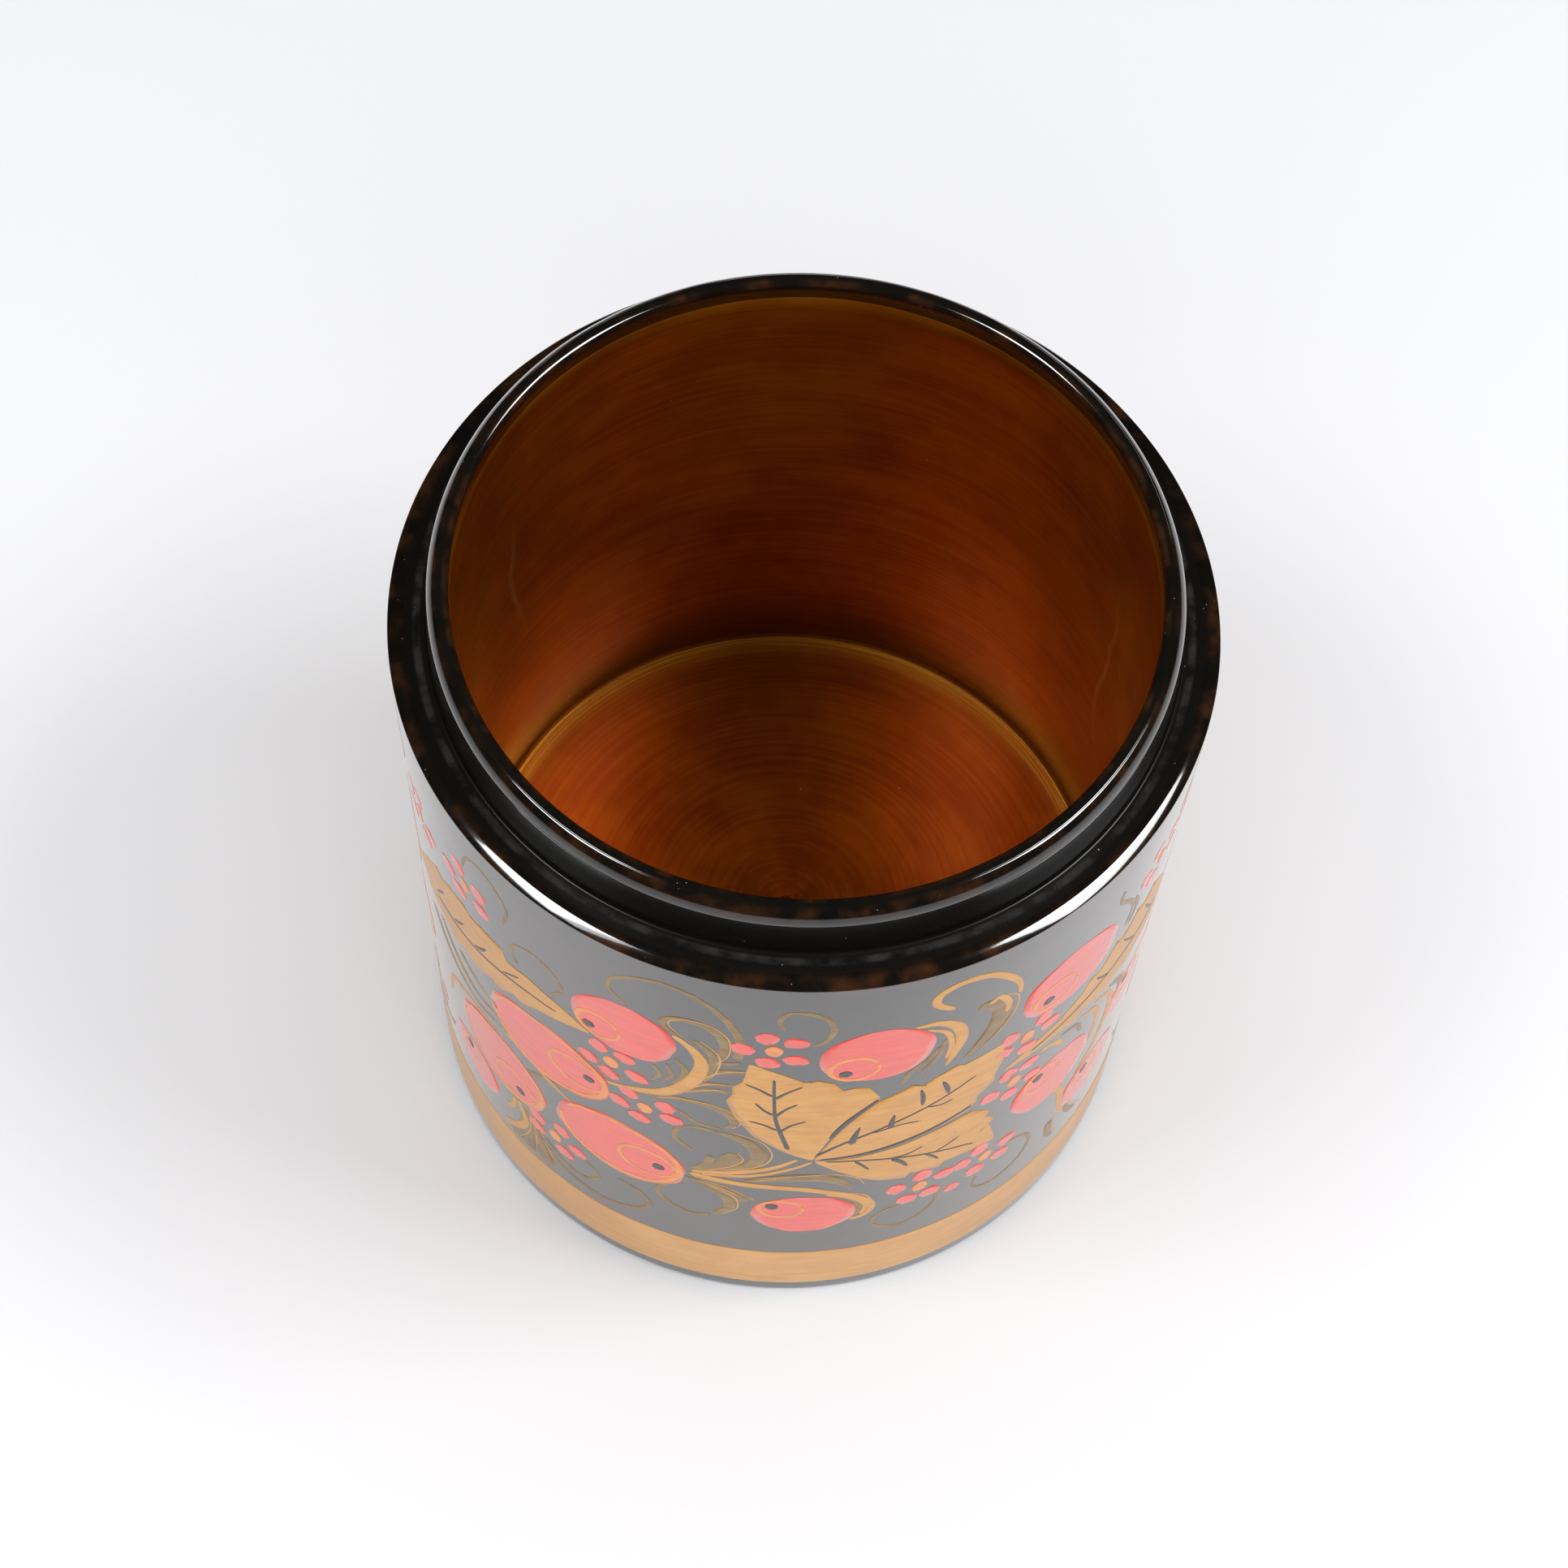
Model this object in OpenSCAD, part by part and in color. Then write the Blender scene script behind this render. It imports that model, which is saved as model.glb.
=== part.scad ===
// Turned and lacquered wooden pen cup.
// A limewood side wall with a stepped rim is closed from below by a base block let into it.
// Black lacquer covers the outside and the rim, gold lacquer lines the hollow.
// Everything is turned about +Z, the table is z = 0, and sizes are in millimetres.

/* [Cup] */
// Height from the table to the top of the lip
cup_h = 94.3; // [70:0.1:130]
// Radius of the finished hollow
bore_r = 37.2; // [28:0.1:50]
// Height of the finished floor above the table
floor_z = 20; // [14:0.5:40]
// How much smaller the radius is at the foot than at the shoulder
taper = 2.5; // [0.5:0.1:3.5]

/* [Rim] */
// Height of the neck that stands above the shoulder
neck_h = 7.3; // [3:0.1:14]
// Thickness of the neck, lacquer included
neck_wall = 2.7; // [2.6:0.1:6]
// Width of the flat shoulder outside the neck
shoulder_w = 4.1; // [3:0.1:10]
// Rounding of the lip's outer edge
lip_outer_round = 1.8; // [0.6:0.1:1.8]
// Rounding of the lip's inner edge
lip_inner_round = 0.7; // [0.6:0.1:0.9]
// Rounding of the shoulder's edge
shoulder_round = 0.6; // [0.6:0.1:2]
// Fillet where the neck rises from the shoulder
neck_fillet = 0.4; // [0.2:0.1:1]

/* [Base] */
// Width of the ledge in the side wall that the base block is pushed up against
ledge_w = 1.6; // [1:0.1:2]
// Chamfer on both edges of the base block
block_chamfer = 0.5; // [0.2:0.1:0.8]
// How far the base block's underside stands clear of the table
recess_h = 1.2; // [0.6:0.1:3]
// Rounding of the foot's outer edge
foot_round = 0.8; // [0.6:0.1:1.5]
// Glue gap round the base block
glue_gap = 0.05; // [0.02:0.01:0.2]

/* [Finish] */
// Thickness of the ground, lacquer and varnish together
coat_t = 0.4; // [0.3:0.05:0.5]
// Distance from the lip down to where the gold lining starts
gold_drop = 2.5; // [1.5:0.1:6]
// Radius of the lacquer that pooled in the corner of the floor
pool_r = 0.6; // [0.5:0.1:4]
// Height of the gold foot band's lower edge
band_low = 2.3; // [1.5:0.1:4]
// Width of the gold foot band
band_w = 10.2; // [4:0.1:16]
// Thickness of the band's paint
band_t = 0.1; // [0.05:0.01:0.2]

/* [Hidden] */
$fn = 180;
// Distance that a cutter runs past the surface it cuts
spare = 1;
body_h = cup_h - neck_h;
neck_r = bore_r + neck_wall;
shoulder_r = neck_r + shoulder_w;
foot_r = shoulder_r - taper;
lean = atan(taper / body_h);
wood_bore_r = bore_r + coat_t;
rebate_r = wood_bore_r + ledge_w;
ledge_z = floor_z - coat_t;
block_r = rebate_r - glue_gap;
gold_z = cup_h - gold_drop;
wood_colour = [0.80, 0.66, 0.45];
black_colour = [0.06, 0.055, 0.05];
gold_colour = [0.72, 0.40, 0.08];
band_colour = [0.83, 0.62, 0.36];

// Radius of the side at height z, taken a skin's thickness under the finished surface
function side_r(z, skin = 0) = foot_r + taper * z / body_h - skin / cos(lean);

// The wedge between two directions at a circle's centre, less the circle.
// It is what a rounding takes off an outer edge, or what a fillet adds in an inner corner.
module corner_web(centre, round_r, from, to, reach) {
    a = reach * [cos(from), sin(from)];
    b = reach * [cos(to), sin(to)];
    translate(centre) difference() {
        polygon([[0, 0], a, a + b, b]);
        circle(round_r);
    }
}

// What rounding the shoulder takes off, the arc being tangent to the leaning side
module shoulder_waste(skin) {
    centre_z = body_h - shoulder_round;
    centre_r = side_r(centre_z, shoulder_round);
    corner_web([centre_r, centre_z], shoulder_round - skin, -lean, 90, shoulder_round + spare);
}

// What rounding the lip's outer edge takes off
module lip_outer_waste(skin) {
    centre = [neck_r - lip_outer_round, cup_h - lip_outer_round];
    corner_web(centre, lip_outer_round - skin, 0, 90, lip_outer_round + spare);
}

// What rounding the lip's inner edge takes off
module lip_inner_waste(skin) {
    centre = [bore_r + lip_inner_round, cup_h - lip_inner_round];
    corner_web(centre, lip_inner_round - skin, 90, 180, lip_inner_round + spare);
}

// What rounding the foot takes off
module foot_waste() {
    centre_r = side_r(foot_round, foot_round);
    corner_web([centre_r, foot_round], foot_round, -90, -lean, foot_round + spare);
}

// What the fillet at the neck's root adds
module neck_fill(skin) {
    centre = [neck_r + neck_fillet, body_h + neck_fillet];
    corner_web(centre, neck_fillet + skin, 180, 270, neck_fillet + skin);
}

// Half section of the whole outside, taken a skin's thickness under the finished surface
module outside_section(skin) {
    top_z = body_h - skin;
    difference() {
        union() {
            polygon([[0, 0], [side_r(0, skin), 0], [side_r(top_z, skin), top_z], [0, top_z]]);
            square([neck_r - skin, cup_h - skin]);
            neck_fill(skin);
        }
        shoulder_waste(skin);
        lip_outer_waste(skin);
        lip_inner_waste(skin);
        foot_waste();
    }
}

// Half section of the hollow, grown a skin's thickness into the wood
module hollow_section(skin) {
    translate([0, floor_z - skin]) square([bore_r + skin, cup_h]);
}

// Half section of the space above a height
module above(z) {
    translate([0, z]) square([shoulder_r + spare, cup_h]);
}

// Turned wall: tapered side, flat shoulder and neck, with a rebate for the base block
module side_wall() {
    color(wood_colour) rotate_extrude() difference() {
        outside_section(coat_t);
        square([rebate_r, ledge_z]);
        square([wood_bore_r, cup_h]);
    }
}

// Turned block that fills the rebate, from the recess underneath up to the ledge
module base_block() {
    flat_r = block_r - block_chamfer;
    color(wood_colour) rotate_extrude() polygon([
        [0, recess_h],
        [flat_r, recess_h],
        [block_r, recess_h + block_chamfer],
        [block_r, ledge_z - block_chamfer],
        [flat_r, ledge_z],
        [0, ledge_z]
    ]);
}

// Black coat over the side, shoulder, neck and lip, and down to the gold inside the mouth
module outer_lacquer() {
    color(black_colour) rotate_extrude() difference() {
        outside_section(0);
        difference() {
            outside_section(coat_t);
            intersection() {
                hollow_section(coat_t);
                above(gold_z);
            }
        }
        square([bore_r, cup_h]);
    }
}

// Gold coat on the wall of the hollow and on its floor, pooled in the corner
module inner_lacquer() {
    pool_centre = [bore_r - pool_r, floor_z + pool_r];
    color(gold_colour) rotate_extrude() union() {
        difference() {
            hollow_section(coat_t);
            hollow_section(0);
            above(gold_z);
        }
        corner_web(pool_centre, pool_r, -90, 0, pool_r);
    }
}

// Black coat in the shallow recess under the base block
module underside_lacquer() {
    color(black_colour) rotate_extrude()
        translate([0, recess_h - coat_t]) square([block_r - block_chamfer, coat_t]);
}

// Painted gold band round the foot, on top of the black coat
module foot_band() {
    high = band_low + band_w;
    color(band_colour) rotate_extrude() polygon([
        [side_r(band_low), band_low],
        [side_r(band_low) + band_t, band_low],
        [side_r(high) + band_t, high],
        [side_r(high), high]
    ]);
}

side_wall();
base_block();
outer_lacquer();
inner_lacquer();
underside_lacquer();
foot_band();
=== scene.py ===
"""Looks of the turned and painted pen cup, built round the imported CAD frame.

Lengths are metres. Places on the painted side are (degrees round the axis, millimetres up),
where -90 degrees is the side with the main leaf.
"""

import math

import bpy
from mathutils import Matrix, Vector, noise


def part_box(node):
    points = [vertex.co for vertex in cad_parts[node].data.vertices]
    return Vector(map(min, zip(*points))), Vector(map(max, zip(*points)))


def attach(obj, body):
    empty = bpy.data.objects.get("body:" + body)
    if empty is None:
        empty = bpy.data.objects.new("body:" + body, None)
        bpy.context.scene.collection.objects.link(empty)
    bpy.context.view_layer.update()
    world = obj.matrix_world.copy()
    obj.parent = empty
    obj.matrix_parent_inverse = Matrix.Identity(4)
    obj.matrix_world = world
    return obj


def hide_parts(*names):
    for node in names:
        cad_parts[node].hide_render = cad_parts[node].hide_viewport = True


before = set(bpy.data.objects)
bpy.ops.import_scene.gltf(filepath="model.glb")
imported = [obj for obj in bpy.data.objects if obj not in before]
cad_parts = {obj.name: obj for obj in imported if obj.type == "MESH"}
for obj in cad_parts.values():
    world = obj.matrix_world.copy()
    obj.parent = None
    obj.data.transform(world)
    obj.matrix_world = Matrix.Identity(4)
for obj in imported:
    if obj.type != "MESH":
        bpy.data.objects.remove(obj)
scene = bpy.context.scene
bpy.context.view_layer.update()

MM = 0.001

# ------ sizes
# Heights and radii come from the frame's nodes, and the rest repeats part.scad.
_, black_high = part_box("outer_lacquer")
gold_low, gold_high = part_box("inner_lacquer")
band_low, band_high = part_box("foot_band")
CUP_H = black_high.z
COAT_T = 0.4 * MM
BORE_R = gold_high.x - COAT_T
FLOOR_Z = gold_low.z + COAT_T
GOLD_Z = gold_high.z
NECK_H = 7.3 * MM
NECK_WALL = 2.7 * MM
SHOULDER_W = 4.1 * MM
TAPER = 2.5 * MM
BODY_H = CUP_H - NECK_H
NECK_R = BORE_R + NECK_WALL
SHOULDER_R = NECK_R + SHOULDER_W
FOOT_R = SHOULDER_R - TAPER
LIP_OUTER_ROUND = 1.8 * MM
LIP_INNER_ROUND = 0.7 * MM
SHOULDER_ROUND = 0.6 * MM
FOOT_ROUND = 0.8 * MM
NECK_FILLET = 0.4 * MM
POOL_R = 0.6 * MM
LEAN = math.atan(TAPER / BODY_H)
MID_R = (SHOULDER_R + FOOT_R) / 2


def side_r(z):
    """Radius of the leaning side at a height."""
    return FOOT_R + TAPER * z / BODY_H


# ------ camera
CAMERA_AT = Vector((0.0, -0.2216, 0.4532))
CAMERA_YAW = math.radians(-0.28)
CAMERA_DOWN = math.radians(61.24)
CAMERA_ROLL = math.radians(3.63)
CAMERA_LENS = 93.2
SENSOR_W = 36.0

camera_data = bpy.data.cameras.new("camera")
camera_data.lens = CAMERA_LENS
camera_data.sensor_width = SENSOR_W
camera_data.clip_start = 0.01
camera = bpy.data.objects.new("camera", camera_data)
camera.matrix_world = (
    Matrix.Translation(CAMERA_AT)
    @ Matrix.Rotation(-CAMERA_YAW, 4, "Z")
    @ Matrix.Rotation(math.pi / 2 - CAMERA_DOWN, 4, "X")
    @ Matrix.Rotation(CAMERA_ROLL, 4, "Z")
)
scene.collection.objects.link(camera)
scene.camera = camera


# ------ mesh helpers
def new_piece(name, points, faces):
    """A smooth-shaded mesh piece that rides on the cup."""
    mesh = bpy.data.meshes.new(name)
    mesh.from_pydata(points, [], faces)
    mesh.validate()
    mesh.polygons.foreach_set("use_smooth", [True] * len(mesh.polygons))
    mesh.update()
    piece = bpy.data.objects.new(name, mesh)
    scene.collection.objects.link(piece)
    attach(piece, "root")
    return piece


def arc(centre, radius, start, end, steps):
    """Points of an arc in the (r, z) half plane, with angles in degrees."""
    points = []
    for i in range(steps + 1):
        a = math.radians(start + (end - start) * i / steps)
        points.append((centre[0] + radius * math.cos(a), centre[1] + radius * math.sin(a)))
    return points


def line(a, b, steps):
    """Points between two points of the half plane, without the ends."""
    return [
        (a[0] + (b[0] - a[0]) * i / steps, a[1] + (b[1] - a[1]) * i / steps)
        for i in range(1, steps)
    ]


def lathe(name, section, segments, wobble):
    """Closed ring from a closed section of (r, z) points; wobble(angle, r, z) gives the place."""
    points = []
    faces = []
    count = len(section)
    for s in range(segments):
        angle = 2 * math.pi * s / segments
        for r, z in section:
            wr, wz = wobble(angle, r, z)
            points.append((wr * math.cos(angle), wr * math.sin(angle), wz))
    for s in range(segments):
        here = s * count
        there = ((s + 1) % segments) * count
        for i in range(count):
            j = (i + 1) % count
            faces.append((here + i, there + i, there + j, here + j))
    return new_piece(name, points, faces)


def ring_noise(angle, z, turns, rise):
    """Noise from -1 to 1 that closes on itself round the cup."""
    place = Vector((math.cos(angle) * turns, math.sin(angle) * turns, z * rise))
    return noise.noise(place)


# ------ node helpers
class Nodes:
    """Builds one node material; sizes are in metres."""

    def __init__(self, name):
        self.material = bpy.data.materials.new(name)
        self.material.use_nodes = True
        self.tree = self.material.node_tree
        self.shader = self.tree.nodes["Principled BSDF"]
        self.place = self.node("TexCoord").outputs["Object"]

    def link(self, value, socket):
        """Sets a socket from a node output or from a plain value."""
        if isinstance(value, bpy.types.NodeSocket):
            self.tree.links.new(value, socket)
        else:
            socket.default_value = (*value, 1.0) if isinstance(value, tuple) else value

    def fill(self, node, sockets):
        """Sets a node's named sockets, with _ in a name standing for a space."""
        for name, value in sockets.items():
            self.link(value, node.inputs[name.replace("_", " ")])

    def node(self, kind, **sockets):
        node = self.tree.nodes.new("ShaderNode" + kind)
        self.fill(node, sockets)
        return node

    def math(self, operation, a, b=0.0):
        node = self.node("Math")
        node.operation = operation
        for value, socket in zip((a, b), node.inputs):
            self.link(value, socket)
        return node.outputs[0]

    def chain(self, operation, values):
        """The values joined by one operation, from the first to the last."""
        result, *others = values
        for value in others:
            result = self.math(operation, result, value)
        return result

    def total(self, *values):
        return self.chain("ADD", values)

    def product(self, *values):
        return self.chain("MULTIPLY", values)

    def most(self, *values):
        return self.chain("MAXIMUM", values)

    def axes(self, vector=None):
        """The x, y and z of a vector, by default of the place on the object."""
        return self.node("SeparateXYZ", Vector=vector or self.place).outputs

    def combine(self, x, y, z):
        return self.node("CombineXYZ", X=x, Y=y, Z=z).outputs[0]

    def radius(self):
        x, y, _ = self.axes()
        return self.math("SQRT", self.total(self.product(x, x), self.product(y, y)))

    def stretched(self, across, up):
        """The place scaled to cells of those sizes across and up."""
        node = self.node("VectorMath")
        node.operation = "MULTIPLY"
        self.link(self.place, node.inputs[0])
        node.inputs[1].default_value = (1 / across, 1 / across, 1 / up)
        return node.outputs[0]

    def turned(self, sweep, pitch):
        """A place whose noise runs in rings of that length and spacing."""
        x, y, z = self.axes()
        radius = self.radius()
        off_axis = self.total(radius, AXIS_GUARD)
        turns = MID_R / sweep
        return self.combine(self.product(self.math("DIVIDE", x, off_axis), turns),
                            self.product(self.math("DIVIDE", y, off_axis), turns),
                            self.math("DIVIDE", self.total(radius, z), pitch))

    def noise(self, vector, detail=3.0, roughness=0.55):
        node = self.node("TexNoise", Vector=vector, Scale=1.0, Detail=detail, Roughness=roughness)
        return node.outputs["Fac"]

    def specks(self, spacing, size, share):
        """1 on small round specks, of which only a share exist."""
        node = self.node("TexVoronoi", Vector=self.stretched(spacing, spacing), Scale=1.0)
        near = self.math("LESS_THAN", node.outputs["Distance"], size / spacing)
        pick = self.axes(node.outputs["Color"])[0]
        return self.product(near, self.math("LESS_THAN", pick, share))

    def step(self, value, low, high):
        """Smooth rise from 0 at low to 1 at high."""
        node = self.node("MapRange", Value=value, From_Min=low, From_Max=high)
        node.interpolation_type = "SMOOTHSTEP"
        return node.outputs["Result"]

    def fall(self, value, low, high):
        """Smooth fall from 1 at low to 0 at high."""
        return self.math("SUBTRACT", 1.0, self.step(value, low, high))

    def span(self, value, low, high):
        """A 0 to 1 value spread over another range."""
        return self.node("MapRange", Value=value, To_Min=low, To_Max=high).outputs["Result"]

    def mix(self, share, a, b):
        """Blend of two colours."""
        node = self.node("Mix")
        node.data_type = "RGBA"
        self.fill(node, dict(Factor=share, A=a, B=b))
        return node.outputs["Result"]

    def near_ring(self, ring_r, ring_z, reach):
        """1 on a ring at that radius and height, falling to 0 at reach."""
        dr = self.math("SUBTRACT", self.radius(), ring_r)
        dz = self.math("SUBTRACT", self.axes()[2], ring_z)
        distance = self.math("SQRT", self.total(self.product(dr, dr), self.product(dz, dz)))
        return self.fall(distance, RING_CORE * reach, reach)

    def sheen_streak(self, degree, low, high):
        """1 along a thin wavering streak of painted sheen down the wall of the hollow, shaped like
        a varnish run, at an angle in degrees.
        """
        x, y, z = self.axes()
        along = self.combine(0.0, float(degree), self.math("DIVIDE", z, STREAK_CELL))
        waver = self.span(self.noise(along, detail=2.0), -STREAK_WAVER, STREAK_WAVER)
        cos, sin = math.cos(math.radians(degree)), math.sin(math.radians(degree))
        aside = self.math("SUBTRACT", self.product(y, cos), self.product(x, sin))
        near = self.fall(self.math("ABSOLUTE", self.total(aside, waver)), STREAK_CORE, STREAK_EDGE)
        outward = self.total(self.product(x, cos), self.product(y, sin))
        facing = self.math("GREATER_THAN", outward, 0.0)
        ends = self.product(self.step(z, low, low + STREAK_FADE), self.fall(z, high - STREAK_FADE, high))
        return self.product(near, facing, ends)

    def bump(self, height, depth):
        """Relief of that depth on the shader, whose normal it gives."""
        node = self.node("Bump", Strength=1.0, Distance=depth, Height=height)
        self.link(node.outputs["Normal"], self.shader.inputs["Normal"])
        return node.outputs["Normal"]

    def finish(self, **sockets):
        """Sets the shader's sockets and gives the material."""
        self.fill(self.shader, sockets)
        return self.material


def paint_on(piece, material):
    """Gives a piece or a CAD node this one material."""
    piece.data.materials.clear()
    piece.data.materials.append(material)


# ------ materials
AXIS_GUARD = 0.2 * MM
RING_CORE = 0.3
LACQUER_RELIEF = 0.006 * MM
LINING_RELIEF = 0.015 * MM
PAINT_RELIEF = 0.010 * MM
WOOD_RELIEF = 0.03 * MM

VARNISH = dict(Coat_Weight=1.0, Coat_Roughness=0.03, Coat_IOR=1.40)
BLACK_DEEP = (0.004, 0.0035, 0.003)
BLACK_PALE = (0.008, 0.0065, 0.005)
DUST = (0.30, 0.29, 0.28)
WORN_BROWN = (0.055, 0.020, 0.007)
# Worn rings on the shoulder and on the lip's two sides: radius, height and reach
WORN_RINGS = [
    (SHOULDER_R - 0.4 * MM, BODY_H - 0.6 * MM, 1.8 * MM),
    (NECK_R - 0.5 * MM, CUP_H - 0.5 * MM, 1.4 * MM),
    (BORE_R + 0.1 * MM, CUP_H - 0.1 * MM, 0.9 * MM),
]
WORN_SHARE = 0.85
GRIME_SHARE = 0.10

GOLD_DEEP = (0.33, 0.072, 0.002)
GOLD_PALE = (0.56, 0.165, 0.006)
CORNER_HIGHLIGHT_GOLD = (0.80, 0.38, 0.03)
FOOT_SHADE_AMBER = (0.10, 0.022, 0.001)
RUN_SHEEN = (0.75, 0.45, 0.20)
GOLD_SPECK = (0.85, 0.62, 0.35)
# Streaks of painted sheen on the wall, shaped like varnish runs: degree, low end and high end
SHEEN_STREAKS = [(152, 46 * MM, 76 * MM), (22, 38 * MM, 76 * MM)]
STREAK_CELL = 14 * MM
STREAK_WAVER = 4.0 * MM
STREAK_CORE = 0.1 * MM
STREAK_EDGE = 0.7 * MM
STREAK_FADE = 12 * MM

WOOD_PALE = (0.74, 0.59, 0.39)
WOOD_DEEP = (0.60, 0.44, 0.26)
WOOD_GROWTH = (0.52, 0.36, 0.20)


def black_lacquer(name, smooth_low, smooth_high, ior, **varnish):
    """Black ground under varnish, worn brown at the edges, with dust on the rim.

    Its roughness runs from smooth_low to smooth_high in broad smudges.
    """
    n = Nodes(name)
    blotches = n.noise(n.stretched(6 * MM, 6 * MM), detail=4.0)
    wear = n.step(n.noise(n.stretched(3.5 * MM, 3.5 * MM), detail=6.0), 0.42, 0.74)
    worn = n.product(n.most(*(n.near_ring(*ring) for ring in WORN_RINGS)), wear)
    rim = n.step(n.axes()[2], BODY_H - 1.5 * MM, BODY_H - 0.5 * MM)
    fine_specks = n.specks(1.0 * MM, 0.05 * MM, 0.35)
    large_specks = n.specks(3.4 * MM, 0.11 * MM, 0.3)
    side_specks = n.specks(8.0 * MM, 0.06 * MM, 0.2)
    specks = n.most(n.product(rim, n.most(fine_specks, large_specks)), side_specks)
    neck_root = n.near_ring(NECK_R + 1.0 * MM, BODY_H, 0.6 * MM)
    patches = n.step(n.noise(n.stretched(2.4 * MM, 2.4 * MM), detail=9.0), 0.34, 0.72)
    dusty = n.most(specks, n.product(neck_root, patches, GRIME_SHARE))
    ground = n.mix(blotches, BLACK_DEEP, BLACK_PALE)
    colour = n.mix(n.product(worn, WORN_SHARE), ground, WORN_BROWN)
    colour = n.mix(dusty, colour, DUST)
    rings = n.noise(n.turned(60 * MM, 0.9 * MM), detail=2.0)
    peel = n.noise(n.stretched(1.6 * MM, 1.6 * MM), detail=2.0)
    relief = n.total(n.product(rings, 0.55), n.product(peel, 0.45), n.product(dusty, 1.5))
    n.link(n.bump(relief, LACQUER_RELIEF), n.shader.inputs["Coat Normal"])
    smudge = n.span(n.noise(n.stretched(14 * MM, 9 * MM), detail=4.0), smooth_low, smooth_high)
    return n.finish(Base_Color=colour, IOR=ior,
                    Roughness=n.total(smudge, n.product(dusty, 0.5)), **varnish)


def gold_lacquer():
    """Amber varnish over a bright metal ground, brushed on in rings while the cup turned."""
    n = Nodes("gold_lacquer")
    rings = n.noise(n.turned(38 * MM, 0.55 * MM), detail=4.0, roughness=0.65)
    broad = n.noise(n.turned(20 * MM, 5.0 * MM), detail=3.0)
    cloud = n.noise(n.stretched(11 * MM, 11 * MM), detail=3.0)
    tone = n.total(n.product(rings, 0.35), n.product(broad, 0.25), n.product(cloud, 0.40))
    colour = n.mix(n.step(tone, 0.34, 0.66), GOLD_DEEP, GOLD_PALE)
    # Painted highlight: a bright gold ring along the floor's edge, where the corner catches the
    # light, broken up by brushed scratches.
    corner = n.near_ring(BORE_R - 0.5 * MM, FLOOR_Z + 0.3 * MM, 2.2 * MM)
    scratches = n.step(n.noise(n.turned(30 * MM, 0.28 * MM), detail=3.0), 0.42, 0.60)
    colour = n.mix(n.product(corner, n.span(scratches, 0.25, 0.95)), colour, CORNER_HIGHLIGHT_GOLD)
    # Painted shade: the wall darkens towards the floor, from 13 mm above it down.
    above_floor = n.math("SUBTRACT", n.axes()[2], FLOOR_Z)
    on_wall = n.math("GREATER_THAN", n.radius(), BORE_R - 0.25 * MM)
    wall_foot_shade = n.product(n.fall(above_floor, 1.0 * MM, 13.0 * MM), on_wall)
    colour = n.mix(n.product(wall_foot_shade, 0.8), colour, FOOT_SHADE_AMBER)
    # Painted sheen: pale streaks down the wall at two angles, shaped like varnish runs.
    runs = n.most(*(n.sheen_streak(*run) for run in SHEEN_STREAKS))
    colour = n.mix(n.product(runs, 0.35), colour, RUN_SHEEN)
    specks = n.specks(4.2 * MM, 0.11 * MM, 0.45)
    colour = n.mix(n.product(specks, 0.55), colour, GOLD_SPECK)
    n.bump(n.total(n.product(rings, 0.7), n.product(cloud, 0.8), n.product(specks, 0.8)),
           LINING_RELIEF)
    tangent = n.node("Tangent")
    tangent.direction_type = "RADIAL"
    tangent.axis = "Z"
    n.link(tangent.outputs[0], n.shader.inputs["Tangent"])
    return n.finish(Base_Color=colour, Metallic=0.84, Roughness=n.span(broad, 0.36, 0.46),
                    Anisotropic=0.6, Coat_Weight=0.2, Coat_Roughness=0.08, Coat_IOR=1.45)


def paint(name, light, dark, thin, streak=3.0, metallic=0.0, varnish=1.0):
    """Brush-laid paint in two tones, with thin places; streak is the clouds' size in mm."""
    n = Nodes(name)
    streaks = n.noise(n.turned(9 * MM, 0.7 * MM), detail=4.0)
    clouds = n.noise(n.stretched(streak * MM, streak * MM), detail=4.0)
    tone = n.total(n.product(streaks, 0.5), n.product(clouds, 0.5))
    colour = n.mix(n.step(tone, 0.36, 0.64), dark, light)
    worn = n.step(n.noise(n.stretched(0.8 * MM, 0.8 * MM), detail=5.0), 0.66, 0.80)
    colour = n.mix(n.product(worn, 0.5), colour, thin)
    n.bump(tone, PAINT_RELIEF)
    return n.finish(Base_Color=colour, Roughness=n.span(clouds, 0.30, 0.45), IOR=1.45,
                    Metallic=metallic, Coat_Weight=varnish, Coat_Roughness=0.03, Coat_IOR=1.40)


def limewood(name):
    """Bare turned limewood: pale fine grain with lathe rings."""
    n = Nodes(name)
    grain = n.noise(n.stretched(1.4 * MM, 26 * MM), detail=6.0, roughness=0.6)
    growth = n.noise(n.stretched(7 * MM, 60 * MM), detail=2.0)
    colour = n.mix(n.step(grain, 0.35, 0.65), WOOD_DEEP, WOOD_PALE)
    colour = n.mix(n.product(growth, 0.35), colour, WOOD_GROWTH)
    cuts = n.noise(n.turned(50 * MM, 0.5 * MM), detail=2.0)
    n.bump(n.total(grain, cuts), WOOD_RELIEF)
    return n.finish(Base_Color=colour, Roughness=n.span(grain, 0.55, 0.75))


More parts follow.
